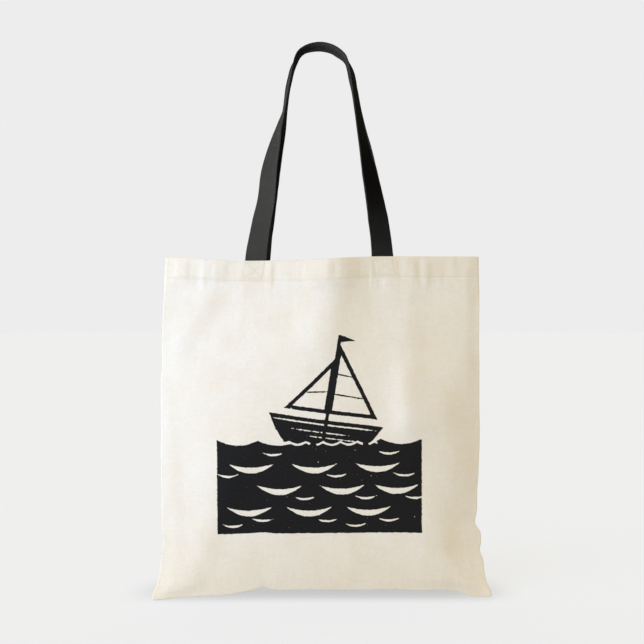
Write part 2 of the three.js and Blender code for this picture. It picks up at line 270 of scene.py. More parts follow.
def fold_relief(folds, across, down):
    """Height of a list of folds at points given in metres."""
    relief = np.zeros(np.broadcast(across, down).shape)
    for (x0, y0), (x1, y1), left, right, height in folds:
        length = math.hypot(x1 - x0, y1 - y0)
        dx, dy = (x1 - x0) / length, (y1 - y0) / length
        px, py = across / MM - x0, down / MM - y0
        along = px * dx + py * dy
        aside = px * dy - py * dx
        width = np.where(aside < 0, left, right)
        beyond = np.maximum(0, np.maximum(-along, along - length))
        reach = 0.35 * length
        relief += height * MM * np.exp(-((aside / width) ** 2)) * np.exp(-((beyond / reach) ** 2))
    return relief


def side_edge(sign, v):
    """Distance of a side seam from the middle line at a share v of the height: its broad line alone."""
    left = 2.6 * bell(v, 0.42, 0.22) - 1.8 * bell(v, 0.0, 0.05)
    right = -0.5 * bell(v, 0.4, 0.25)
    return MOUTH_HALF_WIDTH + BODY_SPREAD * v + np.where(sign < 0, left, right) * MM


def side_dents(sign, v):
    """What a side seam adds to its broad line: the corner, the dents above it and a fine unevenness."""
    nip = bell(v, 0.792, np.where(v < 0.792, 0.03, 0.018))
    hollow = smoothstep(0.5, 0.72, v) * (1 - smoothstep(0.79, 0.83, v))
    right = 1.6 * smoothstep(0.88, 0.905, v) - 3.6 * nip - 3.9 * hollow - 2.0 * bell(v, 0.87, 0.012)
    left = -2.4 * bell(v, 0.845, 0.016)
    wobble = 0.7 * value_noise(v * 400, 0 * v + 5 * sign, 26, 1, 11) * smoothstep(0.02, 0.1, v)
    return CORNER_SPREAD * v ** CORNER_SHARPNESS + (np.where(sign < 0, left, right) + wobble) * MM


def mouth_height(side, u):
    """The height of the mouth's edge: the front dips between the left corner and the middle."""
    corners = 1.6 + 0.4 * u
    if side == FRONT:
        dip = smoothstep(-0.98, -0.5, u) * (1 - smoothstep(-0.14, 0.4, u))
        return MOUTH_Z + (corners + 0.3 * u - 4.4 * dip) * MM
    dip = 2.6 * smoothstep(-0.98, -0.7, u) * (1 - smoothstep(-0.05, 0.35, u))
    dip -= 0.85 * bell(u, -0.26, 0.07)
    return MOUTH_Z + (corners - 0.9 * (1 - u ** 2) - dip) * MM


def foot_height(u):
    """The height of the bottom seam: level on the right, rising and falling towards the left corner."""
    left = 20.5 * np.maximum(0, -u - 0.42) - 3.2 * bell(u, -0.36, 0.05) + 2.4 * bell(u, -0.6, 0.15)
    right = 8.6 * smoothstep(0.78, 0.96, u)
    ripple = 0.5 * value_noise(u * 200, 0 * u + 3, 24, 1, 21)
    return FOOT_Z - (left + right + ripple) * MM


def box_corners(mouth_x):
    """Cloth coordinates of the rectangle of stitches over a strap's sewn end, leaning with the strap."""
    upright = ((-BOX_HALF, BOX_TOP), (BOX_HALF, BOX_TOP), (BOX_HALF, BOX_FOOT), (-BOX_HALF, BOX_FOOT))
    corners = []
    for aside, down in upright:
        x = mouth_x + aside + math.copysign(LEAN * down, mouth_x)
        corners.append((x * FLAT_HALF / MOUTH_HALF_WIDTH, down))
    return corners


GROOVE_WIDTH = 0.9 * MM


def box_groove(side, across, down):
    """One along the rows of stitches round the sewn ends, fading to nothing about two millimetres away."""
    nearest = np.full(np.broadcast(across, down).shape, 1.0)
    for mouth_x in MOUTH_X[side]:
        corners = box_corners(mouth_x)
        for start, end in zip(corners, corners[1:] + corners[:1]):
            nearest = np.minimum(nearest, from_segment(across, down, start, end)[0])
    return bell(nearest, 0, GROOVE_WIDTH)


def sewn_flat(side, across, down):
    """One over the straps' sewn ends, where the stitching keeps the hem flat, and nought beyond them."""
    cover = np.zeros(np.broadcast(across, down).shape)
    for mouth_x in MOUTH_X[side]:
        middle = (mouth_x + math.copysign(1, mouth_x) * LEAN * down) * FLAT_HALF / MOUTH_HALF_WIDTH
        cover += 1 - smoothstep(WEBBING_WIDTH / 2, WEBBING_WIDTH / 2 + 6 * MM, np.abs(across - middle))
    return cover * (1 - smoothstep(SEWN_LENGTH, SEWN_LENGTH + 10 * MM, down))


def edge_rounding(across_edge, foot_edge, radius):
    """The turned seam: the cloth rolls round to the middle plane over the last bit before each edge."""
    roll = lambda distance: np.sqrt(1 - (1 - np.clip(distance / radius, 0, 1)) ** 2)
    return radius * roll(across_edge) * roll(foot_edge)


def corner_rounding(across_edge, foot_edge):
    """How far the cloth is drawn in sideways at the foot, so that the bag's bottom corners are round."""
    above = 1 - np.clip(foot_edge / CORNER_RADIUS, 0, 1)
    drawn_in = CORNER_RADIUS * (1 - np.sqrt(1 - above ** 2))
    return drawn_in * (1 - smoothstep(0, 4 * CORNER_RADIUS, across_edge))


def crown(side, u, v):
    """The panel's broad curve: straight-sided as a tent near the mouth, filling out and rounding below."""
    full = smoothstep(0.08, 0.6, v) if side == FRONT else 1
    power = TENT_POWER + (SIDE_FALLOFF - TENT_POWER) * full
    crest = 0.06 * (1 - full)
    reach = np.where(u > crest, 1 - crest, 1 + crest)
    from_crest = np.sqrt(((u - crest) / reach) ** 2 + 0.015 * (1 - full))
    tent = np.maximum(0, 1 - np.minimum(from_crest, 1) ** power)
    at_mouth = TENT_HALF_DEPTH if side == FRONT else MOUTH_HALF_DEPTH
    depth = at_mouth + (BELLY_HALF_DEPTH - at_mouth) * np.sin(math.pi / 2 * np.minimum(v / DEEPEST, 2))
    return depth * tent * (1 - v ** BOTTOM_FALLOFF)


def drape(side, across, down):
    """Points on the outer face of a panel, for cloth coordinates in metres."""
    u, v = across / FLAT_HALF, down / FLAT_HEIGHT
    across_edge = FLAT_HALF - np.abs(across)
    foot_edge = FLAT_HEIGHT - down
    sign = np.sign(u)
    dents = side_dents(sign, v) * np.abs(u) ** CORNER_REACH
    x = u * side_edge(sign, v) + sign * (dents - corner_rounding(across_edge, foot_edge))
    z = mouth_height(side, u) * (1 - v) + FOOT_Z * v + (foot_height(u) - FOOT_Z) * v ** FOOT_REACH

    radius = (1.2 + 1.4 * (1 - smoothstep(27 * MM, 60 * MM, down))) * MM
    inland = smoothstep(0, 18 * MM, across_edge) * smoothstep(0, 14 * MM, foot_edge)
    folds = fold_relief(FRONT_FOLDS if side == FRONT else BACK_FOLDS, across, down)
    seed = 30 if side == FRONT else 60
    high = 1 - smoothstep(0.1, 0.5, v)
    slack = (0.3 + 0.2 * high) * value_noise(across, down, 34 * MM, 62 * MM, seed)
    slack += (0.07 + 0.12 * high) * value_noise(across, down, 12 * MM, 26 * MM, seed + 1)
    slack += 0.035 * value_noise(across, down, 5 * MM, 8 * MM, seed + 2)

    # Stitching draws the hem into short upright puckers.
    pucker = value_noise(across, down, 8 * MM, 60 * MM, seed + 3)
    pucker += 0.25 * value_noise(across, down, 3.2 * MM, 40 * MM, seed + 4)
    pucker_reach = smoothstep(-8 * MM, 17 * MM, down) * (1 - smoothstep(26 * MM, 42 * MM, down))
    pucker *= pucker_reach * (1 - sewn_flat(side, across, down))
    hem_step = 0.4 * (1 - smoothstep(24.2 * MM, 27 * MM, down))
    groove = -0.2 * bell(down, STITCH_DOWN, GROOVE_WIDTH) - 0.34 * box_groove(side, across, down)

    # The side and bottom seams gather the cloth a little.
    by_side, by_foot = bell(across_edge, 8 * MM, 8 * MM), bell(foot_edge, 8 * MM, 8 * MM)
    gathers = 0.3 * value_noise(down, across * 0 + sign, 9 * MM, 1, seed + 5) * by_side
    gathers *= smoothstep(2 * MM, 6 * MM, across_edge) * smoothstep(0.04, 0.12, v)
    foot_gathers = 0.22 * value_noise(across, down * 0, 9 * MM, 1, seed + 6) * by_foot
    gathers += foot_gathers * smoothstep(2 * MM, 6 * MM, foot_edge)

    relief = folds * inland + ((slack + pucker + hem_step) * inland + groove + gathers) * MM
    depth = 0.1 * MM + edge_rounding(across_edge, foot_edge, radius) + crown(side, u, v) + relief
    return np.stack([x, side * np.maximum(depth, 0.1 * MM), z], axis=-1)


def outward(side, across, down):
    """Unit normals of the drape, pointing out of the bag."""
    step = 0.25 * MM
    right, left = (np.clip(across + move, -FLAT_HALF, FLAT_HALF) for move in (step, -step))
    below, above = np.clip(down + step, 0, FLAT_HEIGHT), np.clip(down - step, 0, FLAT_HEIGHT)
    along_x = drape(side, right, down) - drape(side, left, down)
    along_z = drape(side, across, above) - drape(side, across, below)
    return side * unit(np.cross(along_z, along_x))


# --- Materials ---

class Nodes:
    """A node tree, with short calls for the nodes that the cloth patterns and the studio need."""

    def __init__(self, tree):
        self.tree = tree

    def node(self, kind, **settings):
        made = self.tree.nodes.new(kind)
        for key, value in settings.items():
            setattr(made, key, value)
        return made

    def feed(self, socket, value):
        if isinstance(value, bpy.types.NodeSocket):
            self.tree.links.new(value, socket)
        else:
            socket.default_value = value

    def math(self, operation, a, b=0.0, c=0.0):
        made = self.node("ShaderNodeMath", operation=operation)
        for socket, value in zip(made.inputs, (a, b, c)):
            self.feed(socket, value)
        return made.outputs[0]

    def cloth_mm(self):
        """The cloth coordinates in millimetres, as separate across and along values and as a vector."""
        uv = self.node("ShaderNodeUVMap", uv_map="cloth")
        scale = self.node("ShaderNodeVectorMath", operation="SCALE")
        self.feed(scale.inputs[0], uv.outputs[0])
        scale.inputs["Scale"].default_value = 1 / MM
        across, along, _ = self.split(scale.outputs[0])
        return across, along, scale.outputs[0]

    def split(self, vector):
        made = self.node("ShaderNodeSeparateXYZ")
        self.feed(made.inputs[0], vector)
        return made.outputs

    def noise(self, vector, scale=(1, 1, 1), detail=2.0, roughness=0.5):
        mapping = self.node("ShaderNodeMapping")
        self.feed(mapping.inputs["Vector"], vector)
        mapping.inputs["Scale"].default_value = scale
        made = self.node("ShaderNodeTexNoise")
        self.feed(made.inputs["Vector"], mapping.outputs[0])
        made.inputs["Scale"].default_value = 1.0
        made.inputs["Detail"].default_value = detail
        made.inputs["Roughness"].default_value = roughness
        return made.outputs[0]

    def ramp(self, value, low, high, to_low=0.0, to_high=1.0, smooth=False):
        made = self.node("ShaderNodeMapRange", interpolation_type="SMOOTHSTEP" if smooth else "LINEAR")
        self.feed(made.inputs[0], value)
        for index, number in enumerate((low, high, to_low, to_high), start=1):
            self.feed(made.inputs[index], number)
        return made.outputs[0]

    def mix(self, factor, a, b, blend="MIX"):
        made = self.node("ShaderNodeMix", data_type="RGBA", blend_type=blend)
        self.feed(made.inputs[0], factor)
        self.feed(made.inputs[6], a)
        self.feed(made.inputs[7], b)
        return made.outputs[2]

    def weave(self, across, along, pitch_across, pitch_along):
        """Height, 0 to 1, of a plain weave: threads take turns over and under each other."""
        warp = self.math("COSINE", self.math("MULTIPLY", across, math.pi / pitch_across))
        weft = self.math("COSINE", self.math("MULTIPLY", along, math.pi / pitch_along))
        over = self.math("GREATER_THAN", self.math("MULTIPLY", warp, weft), 0.0)
        warp_round, weft_round = self.math("ABSOLUTE", warp), self.math("ABSOLUTE", weft)
        under = self.math("SUBTRACT", 1.0, over)
        return self.math("MULTIPLY_ADD", warp_round, over, self.math("MULTIPLY", weft_round, under))

    def bump(self, height, distance, strength=1.0, under=None):
        made = self.node("ShaderNodeBump")
        made.inputs["Distance"].default_value = distance
        made.inputs["Strength"].default_value = strength
        self.feed(made.inputs["Height"], height)
        if under is not None:
            self.feed(made.inputs["Normal"], under)
        return made.outputs[0]


class Shader(Nodes):
    """A new material and its node tree."""

    def __init__(self, name):
        self.material = bpy.data.materials.new(name)
        self.material.use_nodes = True
        super().__init__(self.material.node_tree)

    def set_surface(self, values):
        surface = self.tree.nodes["Principled BSDF"]
        for name, value in values.items():
            self.feed(surface.inputs[name], value)
        return self.material


CANVAS_PITCH = (0.55, 0.62)    # millimetres between threads, across and along the cloth
WEBBING_PITCH = (1.15, 0.85)


def canvas_material():
    """Unbleached cotton: a plain weave with uneven threads, seed flecks and a slightly patchy cream."""
    shader = Shader("canvas")
    across, along, point = shader.cloth_mm()
    drift = shader.noise(point, (0.35, 0.35, 1), 2)
    shifted_across = shader.math("ADD", across, shader.math("MULTIPLY", drift, 0.5))
    shifted_along = shader.math("ADD", along, shader.math("MULTIPLY", drift, 0.6))
    weave = shader.weave(shifted_across, shifted_along, *CANVAS_PITCH)
    slub_warp = shader.noise(point, (1.3, 0.035, 1), 3, 0.6)
    slub_weft = shader.noise(point, (0.03, 1.25, 1), 3, 0.6)
    slubs = shader.math("ADD", slub_warp, slub_weft)
    patches = shader.noise(point, (0.03, 0.022, 1), 4, 0.6)
    mottle = shader.noise(point, (0.22, 0.22, 1), 4, 0.65)

    cream = shader.mix(shader.ramp(patches, 0.38, 0.62), (0.835, 0.772, 0.65, 1), (0.85, 0.805, 0.705, 1))
    # Painted shade: the cloth turns warmer and less blue towards the foot, where less of the cool key light
    # falls.
    foot_shade_tint = shader.mix(1.0, cream, (1.025, 1.0, 0.945, 1), "MULTIPLY")
    cream = shader.mix(shader.ramp(along, 10, 100, 1.0, 0.0), cream, foot_shade_tint)
    # Painted shade: the hem is darker and warmer, more so over the sewn webbing ends, standing in for less
    # light showing through its layers.
    hem_shade_share = shader.node("ShaderNodeAttribute", attribute_name="hem").outputs["Fac"]
    cream = shader.mix(hem_shade_share, cream, shader.mix(1.0, cream, (0.955, 0.92, 0.86, 1), "MULTIPLY"))
    tone = shader.ramp(slubs, 0.7, 1.3, 0.965, 1.03)
    tone = shader.math("MULTIPLY", tone, shader.ramp(mottle, 0.3, 0.7, 0.97, 1.025))
    # Painted shade: the weave's hollows between threads are a little darker.
    tone = shader.math("MULTIPLY", tone, shader.ramp(weave, 0.0, 1.0, 0.95, 1.02))
    toned = shader.mix(1.0, cream, tone, "MULTIPLY")
    fleck_field = shader.noise(point, (0.8, 0.62, 1), 1, 0.4)
    flecks = shader.math("MULTIPLY", shader.ramp(fleck_field, 0.735, 0.80), 0.5)
    flecked = shader.mix(flecks, toned, (0.45, 0.34, 0.22, 1))
    bump = shader.bump(slubs, 0.22 * MM, 0.7, shader.bump(weave, 0.09 * MM))
    return shader.set_surface({"Base Color": flecked, "Normal": bump, "Roughness": 0.92,
                               "Specular IOR Level": 0.2, "Sheen Weight": 0.06, "Sheen Roughness": 0.6})


def webbing_material():
    """Black cotton webbing: fine cross ribs between lengthwise cords, with a little grey lint."""
    shader = Shader("webbing")
    across, along, point = shader.cloth_mm()
    weave = shader.weave(across, along, *WEBBING_PITCH)
    fuzz = shader.noise(point, (1.6, 0.5, 1), 4, 0.65)
    wear = shader.noise(point, (0.08, 0.02, 1), 3, 0.6)
    black, grey = (0.0027, 0.0028, 0.0030, 1), (0.0064, 0.0065, 0.0067, 1)
    dark = shader.mix(shader.ramp(fuzz, 0.35, 0.75), black, grey)
    # Painted shade: the hollows between the ribs and cords are much darker.
    tone = shader.ramp(weave, 0.0, 1.0, 0.6, 1.15)
    tone = shader.math("MULTIPLY", tone, shader.ramp(wear, 0.3, 0.7, 0.92, 1.1))
    toned = shader.mix(1.0, dark, tone, "MULTIPLY")
    bump = shader.bump(fuzz, 0.1 * MM, 0.6, shader.bump(weave, 0.18 * MM))
    return shader.set_surface({"Base Color": toned, "Normal": bump, "Roughness": 0.9,
                               "Specular IOR Level": 0.02})


def thread_material():
    """Cream sewing thread, two plies twisted round each other."""
    shader = Shader("thread")
    across, along, point = shader.cloth_mm()
    slant = shader.math("ADD", shader.math("MULTIPLY", along, 5.0), shader.math("MULTIPLY", across, 6.0))
    ply = shader.math("ABSOLUTE", shader.math("SINE", slant))
    tint = shader.noise(point, (0.2, 0.2, 1), 2)
    cream = shader.mix(shader.ramp(tint, 0.3, 0.7), (0.78, 0.73, 0.62, 1), (0.86, 0.82, 0.73, 1))
    # Painted shade: the thread is darker in the groove between its plies.
    toned = shader.mix(1.0, cream, shader.ramp(ply, 0.0, 0.8, 0.8, 1.0), "MULTIPLY")
    return shader.set_surface({"Base Color": toned, "Normal": shader.bump(ply, 0.1 * MM),
                               "Roughness": 0.7, "Sheen Weight": 0.1})


def ink_material():
    """Black textile ink in the cloth: the weave still shows, with a faint dry mottle."""
    shader = Shader("ink")
    across, along, point = shader.cloth_mm()
    weave = shader.weave(across, along, *CANVAS_PITCH)
    mottle = shader.noise(point, (0.5, 0.5, 1), 4, 0.65)
    black, dry = (0.0045, 0.0045, 0.005, 1), (0.014, 0.0135, 0.013, 1)
    tint = shader.mix(shader.ramp(mottle, 0.45, 0.8), black, dry)
    toned = shader.mix(1.0, tint, shader.ramp(weave, 0.0, 1.0, 1.25, 0.9), "MULTIPLY")
    return shader.set_surface({"Base Color": toned, "Normal": shader.bump(weave, 0.1 * MM),
                               "Roughness": 0.75, "Specular IOR Level": 0.2})


CANVAS_LOOK = canvas_material()
WEBBING_LOOK = webbing_material()
THREAD_LOOK = thread_material()
INK_LOOK = ink_material()


# --- Panels: one length of canvas each, folded over at the mouth and turned in at the seams ---

COARSE_STEP, FINE_STEP = 2.8 * MM, 0.8 * MM
SEAM_ROLL = 1.2 * MM


def seam_roll():
    """Distances from a seam at which the cloth's round edge has its vertices."""
    return [SEAM_ROLL * (1 - math.cos(math.radians(a))) for a in range(0, 91, 15)]


def columns_across():
    """Cloth positions across a panel: close together at the seams and over the sewn boxes."""
    near_edge = seam_roll() + [1.8 * MM, 2.6 * MM, 4 * MM, 6 * MM]
    inner = FLAT_HALF - 8.5 * MM
    stops = [-inner, -96 * MM, -58 * MM, 54 * MM, 92 * MM, inner]
    steps = [COARSE_STEP, FINE_STEP, COARSE_STEP, FINE_STEP, COARSE_STEP]
    middle = [np.arange(a, b - step / 2, step) for a, b, step in zip(stops, stops[1:], steps)]
    left = [-FLAT_HALF + e for e in near_edge]
    return np.concatenate([left, *middle, [inner], [-x for x in left[::-1]]])


def arc(centre_down, centre_in, radius, start, end, steps):
    """Points (down, inwards) on an arc of the cloth's cross section, ends included. Angle 0 faces out."""
    angles = np.radians(np.linspace(start, end, steps + 1))
    return [(centre_down - radius * math.sin(a), centre_in - radius * math.cos(a)) for a in angles]


def panel_section():
    """The closed outline of the cloth from the bottom seam up, over the mouth and down inside, and back."""
    half_fold = FOLD_DEPTH / 2
    layer_top = FOLD_DEPTH - HEM_LAYER
    crease = (layer_top - CANVAS) / 2
    foot_roll = [FLAT_HEIGHT - distance for distance in seam_roll()]
    coarse = list(np.linspace(FLAT_HEIGHT - 3 * MM, 30 * MM, 132))
    by_stitch = [down * MM for down in (28.5, 27.2, 26.2, 25.4, 24.7, 24.1, 23.6, 23.1, 22.5)]
    hem = list(np.linspace(21.6 * MM, 2.4 * MM, 25))
    outer = foot_roll + coarse + by_stitch + hem
    end_down = HEM_DEPTH - HEM_LAYER / 2
    section = [(down, 0.0) for down in outer]
    section += arc(half_fold, half_fold, half_fold, 0, 180, 8)
    section += [(down, FOLD_DEPTH) for down in np.linspace(3 * MM, end_down - 1 * MM, 10)]
    section += arc(end_down, FOLD_DEPTH - HEM_LAYER / 2, HEM_LAYER / 2, 180, 360, 6)
    section += [(down, layer_top) for down in np.linspace(end_down - 2 * MM, 2.4 * MM, 9)]
    section += arc(half_fold, CANVAS + crease, crease, 180, 0, 3)
    section += [(down, CANVAS) for down in outer[::-1]]
    return section


def add_panel(name, side, *replaced):
    section = panel_section()
    across = columns_across()
    downs = np.array([down for down, _ in section])
    inwards = np.array([inward for _, inward in section])
    cloth_across, cloth_down = np.meshgrid(across, downs, indexing="ij")
    surface = drape(side, cloth_across, cloth_down)
    normals = outward(side, cloth_across, cloth_down)
    points = surface - normals * inwards[None, :, None]

    travel = travel_round(section)
    faces, uvs = sweep(len(across), len(section), side == FRONT,
                       lambda column, place: (across[column], travel[place]),
                       lambda column, place: (across[column] + inwards[place], travel[place]),
                       first_corner=1)
    panel = add_mesh(name, points.reshape(-1, 3), faces, CANVAS_LOOK, uvs)
    # The share of painted shade in the hem, more over the sewn webbing ends, which the canvas's colour
    # darkens and warms.
    hem = panel.data.attributes.new("hem", "FLOAT", "POINT")
    painted_hem_shade = 1 - smoothstep(HEM_DEPTH - 0.4 * MM, HEM_DEPTH + 0.4 * MM, cloth_down)
    painted_hem_shade *= 0.3 + 0.3 * sewn_flat(side, cloth_across, cloth_down)
    hem.data.foreach_set("value", painted_hem_shade.ravel().astype(np.float32))
    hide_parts(*replaced)
    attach(panel, "bag")
    return panel


front_canvas = add_panel("front_canvas", FRONT, "front_panel", "front_hem")
back_canvas = add_panel("back_canvas", BACK, "back_panel", "back_hem")


# --- Handles ---

# The front handle's route above the mouth, from the right-hand sewn end over the hook to the left-hand one:
# x and z in millimetres, and the turn of the webbing, 0 facing front on the right, 90 edge on over the hook
# and 180 facing front on the left.
FRONT_ROUTE = [
    (69.2, -227, 18), (66.0, -204, 23), (62.2, -181, 36), (55.4, -146, 49), (51.0, -122, 59),
    (46.5, -99, 68), (42.7, -76, 73), (39.2, -53, 76), (35.6, -31, 78), (31.7, -20.3, 83),
    (28.0, -13.6, 88), (20.8, -6.9, 90), (12.0, -1.9, 90), (0.5, 0.7, 90), (-10.0, -0.1, 90),
    (-18.9, -3.2, 90), (-26.4, -8.6, 90), (-31.0, -16, 93), (-34.8, -29.4, 97), (-37.4, -41, 98),
    (-41.6, -64, 98), (-43.6, -76, 98), (-47.0, -88, 105), (-50.6, -100, 111), (-53.4, -112, 121),
    (-57.4, -129, 131), (-60.9, -147, 139), (-64.3, -181, 147), (-69.1, -204, 154), (-74.9, -238, 165),
]
BACK_ROUTE = [
    (70.6, -225, 18), (67.2, -201, 23), (63.3, -178, 36), (56.5, -142, 49), (52.2, -118, 59),
    (47.4, -95, 69), (43.0, -71, 76), (38.9, -47, 78), (35.2, -33, 80), (32.2, -21.4, 84),
    (29.2, -14.4, 88), (25.2, -10.2, 90), (18.8, -6.0, 90), (12.0, -1.8, 90), (0.0, 1.1, 90),
    (-12.0, 0.5, 90), (-20.2, -1.8, 90), (-25.4, -6.2, 90), (-29.4, -12.6, 93), (-34.3, -23, 97),
    (-37.4, -35, 98), (-40.0, -47, 98), (-43.0, -71, 98), (-46.2, -95, 104), (-52.0, -118, 118),
    (-57.6, -142, 132), (-62.9, -178, 139), (-66.4, -201, 145), (-70.8, -225, 158),
]


STATION_STEP_MM = 2.4


def spline(points, steps_mm):
    """Centripetal Catmull-Rom through rows whose first three numbers are a place, about steps_mm apart."""
    points = np.array(points, dtype=float)
    first = 2 * points[0] - points[1]
    last = 2 * points[-1] - points[-2]
    rows = np.vstack([first, points, last])
    out = []
    for p0, p1, p2, p3 in zip(rows, rows[1:], rows[2:], rows[3:]):
        gap = lambda a, b: max(np.linalg.norm((a - b)[:3]), 1e-9) ** 0.5
        t0, t1 = 0.0, gap(p0, p1)
        t2 = t1 + gap(p1, p2)
        t3 = t2 + gap(p2, p3)
        count = max(2, round(np.linalg.norm((p2 - p1)[:3]) / (steps_mm * MM)))
        for t in np.linspace(t1, t2, count, endpoint=False):
            a1 = (t1 - t) / (t1 - t0) * p0 + (t - t0) / (t1 - t0) * p1
            a2 = (t2 - t) / (t2 - t1) * p1 + (t - t1) / (t2 - t1) * p2
            a3 = (t3 - t) / (t3 - t2) * p2 + (t - t2) / (t3 - t2) * p3
            b1 = (t2 - t) / (t2 - t0) * a1 + (t - t0) / (t2 - t0) * a2
            b2 = (t3 - t) / (t3 - t1) * a2 + (t - t1) / (t3 - t1) * a3
            out.append((t2 - t) / (t2 - t1) * b1 + (t - t1) / (t2 - t1) * b2)
    out.append(points[-1])
    return np.array(out)


def sewn_row(side, mouth_x, down):
    """The place and turn of the webbing inside the hem: in line with the handle's leg, flat to the hem."""
    middle = (mouth_x + math.copysign(LEAN * down, mouth_x)) * FLAT_HALF / MOUTH_HALF_WIDTH
    across = middle + WEBBING_WIDTH * np.array([-0.4, 0, 0.4])
    depth = np.full(3, down)
    cloth = drape(side, across, depth)
    place = cloth.mean(axis=0) - outward(side, across, depth).mean(axis=0) * STRAP_DEPTH
    chord = cloth[2] - cloth[0]
    turn = math.atan2(-side * chord[1], chord[0])
    return [*place, turn if mouth_x > 0 else turn + math.pi]


def handle_centreline(side):
    """Rows of x, y, z and turn for a handle, from one sewn end to the other."""
    right_x, left_x = MOUTH_X[side]
    at_hook = (WEBBING_WIDTH + HOOK_GAP) / 2
    depths = [SEWN_LENGTH, SEWN_LENGTH * 0.6, SEWN_LENGTH * 0.2]
    rows = [sewn_row(side, right_x, down) for down in depths]
    mouth_depth = abs(rows[-1][1])
    for x, z, turn in FRONT_ROUTE if side == FRONT else BACK_ROUTE:
        share = smoothstep(MOUTH_Z, -60 * MM, z * MM)
        depth = mouth_depth + (at_hook - mouth_depth) * share
        rows.append([x * MM, side * depth, z * MM, math.radians(turn)])
    rows += [sewn_row(side, left_x, down) for down in depths[::-1]]
    return spline(rows, STATION_STEP_MM)


def webbing_section():
    """The outline of the webbing, as (across, through): flat faces and round, slightly thicker edges."""
    half_width, half = WEBBING_WIDTH / 2, WEBBING_THICKNESS / 2
    flat = np.linspace(-half_width + 2 * half, half_width - 2 * half, 11)
    face = [(x, half * (0.93 + 0.07 * (x / half_width) ** 8)) for x in flat]
    edge = [(half_width - half + half * math.sin(a), half * math.cos(a))
            for a in np.radians(np.linspace(0, 180, 9))]
    return face + edge + [(x, -y) for x, y in face[::-1]] + [(-x, -y) for x, y in edge]


def add_handle(name, side, body, *replaced):
    centre = handle_centreline(side)
    places, turns = centre[:, :3], centre[:, 3]
    along = unit(np.gradient(places, axis=0))
    across = np.stack([np.cos(turns), -side * np.sin(turns), 0 * turns], axis=-1)
    across = unit(across - along * np.sum(across * along, axis=-1, keepdims=True))
    through = unit(np.cross(across, along)) * (1 if side == FRONT else -1)
    section = webbing_section()
    stations, loop = len(places), len(section)
    travel = np.concatenate([[0], np.cumsum(np.linalg.norm(np.diff(places, axis=0), axis=1))])
    selvage = 1 + 0.012 * value_noise(travel, travel * 0, 9 * MM, 1, 90 + side)
    points = np.zeros((stations, loop, 3))
    for k, (x, y) in enumerate(section):
        points[:, k] = places + across * (x * selvage)[:, None] + through * y
    round_travel = travel_round(section)
    faces, uvs = sweep(stations, loop, side == BACK,
                       lambda station, place: (round_travel[place], travel[station]),
                       lambda station, place: (section[place][0], travel[station] + section[place][1]))
    handle = add_mesh(name, points.reshape(-1, 3), faces, WEBBING_LOOK, uvs)
    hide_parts(*replaced)
    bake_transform(handle)


add_handle("front_webbing", FRONT, "front_handle",
           "front_handle", "front_handle_left_end", "front_handle_right_end")
add_handle("back_webbing", BACK, "back_handle",
           "back_handle", "back_handle_left_end", "back_handle_right_end")


# --- Stitching ---

STITCH_LENGTH = 2.7 * MM
STITCH_PITCH = 3.2 * MM       # each row's own pitch is at least this, so that whole stitches fill it
THREAD_RADIUS = 0.28 * MM
THREAD_SIDE = 0.19 * MM       # the cloth coordinate's step from side to side round a thread
THREAD_SHIFT = 7 * MM         # and along it from stitch to stitch, so that no two look alike


def stitches_mesh(starts, ends, normals, radius=THREAD_RADIUS):
    """Vertices, faces and uvs of one bowed, round-ended stitch between each pair of points."""
    rings, sides = 7, 8
    share = np.linspace(0, 1, rings)
    lift = radius * (1.15 * np.sin(math.pi * share) - 0.35)
    thick = radius * np.sqrt(np.maximum(0.12, 1 - (2 * share - 1) ** 4))
    along = unit(ends - starts)
    aside = unit(np.cross(along, normals))
    angles = np.linspace(0, 2 * math.pi, sides, endpoint=False)
    points = np.zeros((len(starts), rings, sides, 3))
    for r in range(rings):
        centre = starts + (ends - starts) * share[r] + normals * lift[r]
        for k, a in enumerate(angles):
            points[:, r, k] = centre + (aside * math.cos(a) + normals * math.sin(a)) * thick[r]
    faces, uvs = [], []
    for stitch, length in enumerate(np.linalg.norm(ends - starts, axis=1)):
        tube, tube_uvs = sweep(rings, sides, True,
                               lambda r, k: (k * THREAD_SIDE, length * share[r] + stitch * THREAD_SHIFT),
                               lambda r, k: (k * THREAD_SIDE, stitch * THREAD_SHIFT))
        faces += [[stitch * rings * sides + corner for corner in face] for face in tube]
        uvs += tube_uvs
    return points.reshape(-1, 3), faces, uvs


def row_of_stitches(start, end):
    """Cloth coordinates of the two ends of each stitch along a straight line."""
    start, end = np.array(start), np.array(end)
    length = np.linalg.norm(end - start)
    count = max(1, int(length / STITCH_PITCH))
    pitch = length / count
    direction = (end - start) / length
    first = start + direction * ((np.arange(count) + 0.5) * pitch - STITCH_LENGTH / 2)[:, None]
    return first, first + direction * STITCH_LENGTH


def sewn_stitches(side, rows, inwards):
    """Stitches on the drape, on the outer face or, with inwards, on a face that far inside it."""
    first = np.vstack([a for a, _ in rows])
    last = np.vstack([b for _, b in rows])
    ends = []
    for cloth in (first, last):
        normal = outward(side, cloth[:, 0], cloth[:, 1])
        ends.append(drape(side, cloth[:, 0], cloth[:, 1]) - normal * inwards)
    facing = normal if inwards == 0 else -normal
    return stitches_mesh(ends[0], ends[1], facing)


def join_meshes(parts):
    vertices, faces, uvs, offset = [], [], [], 0
    for part_vertices, part_faces, part_uvs in parts:
        vertices.append(part_vertices)
        faces += [[i + offset for i in face] for face in part_faces]
        uvs += part_uvs
        offset += len(part_vertices)
    return np.vstack(vertices), faces, uvs


def add_stitching(name, replaced, parts):
    vertices, faces, uvs = join_meshes(parts)
    piece = add_mesh(name, vertices, faces, THREAD_LOOK, uvs)
    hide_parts(replaced)
    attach(piece, "bag")


def box_rows(mouth_x):
    """Rows of stitches: a rectangle with a cross in it."""
    corners = box_corners(mouth_x)
    pairs = [*zip(corners, corners[1:] + corners[:1]), (corners[0], corners[2]), (corners[1], corners[3])]
    return [row_of_stitches(a, b) for a, b in pairs]


